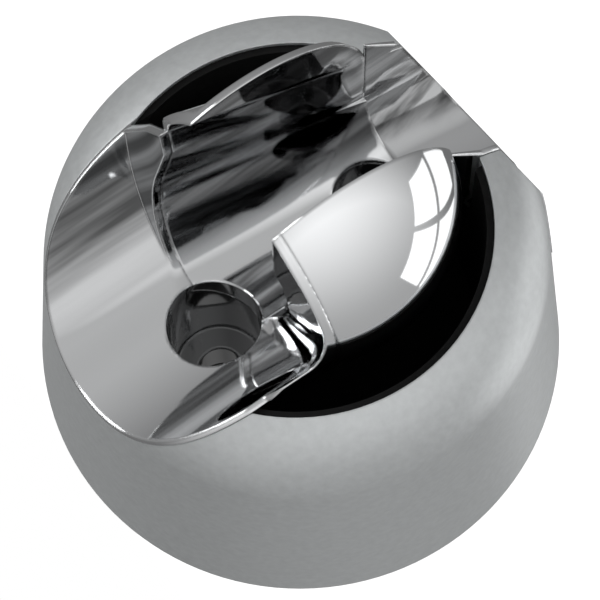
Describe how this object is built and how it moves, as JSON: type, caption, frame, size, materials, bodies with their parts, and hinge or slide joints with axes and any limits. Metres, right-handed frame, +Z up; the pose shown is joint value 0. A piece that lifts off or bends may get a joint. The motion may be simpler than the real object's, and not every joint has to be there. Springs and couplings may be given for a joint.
{
  "type": "hand shower wall holder",
  "caption": "Wall holder for a hand shower: satin ring round a chrome ball clip with a conical socket, a hose slot and holes for wall screws.",
  "frame": {"origin": "centre of the round back face, on the wall", "axes": "+Z up in use, -Y out of the wall towards the user, +Y into the wall"},
  "size_m": [0.0616, 0.0557, 0.0616],
  "materials": {
    "satin_body": "satin",
    "chrome": "polished",
    "black_plastic": "matte"
  },
  "bodies": {
    "root": {"outer_body": "satin_body", "saddle": "chrome", "ball_clip": "chrome", "inner_base": "black_plastic"}
  },
  "joints": []
}
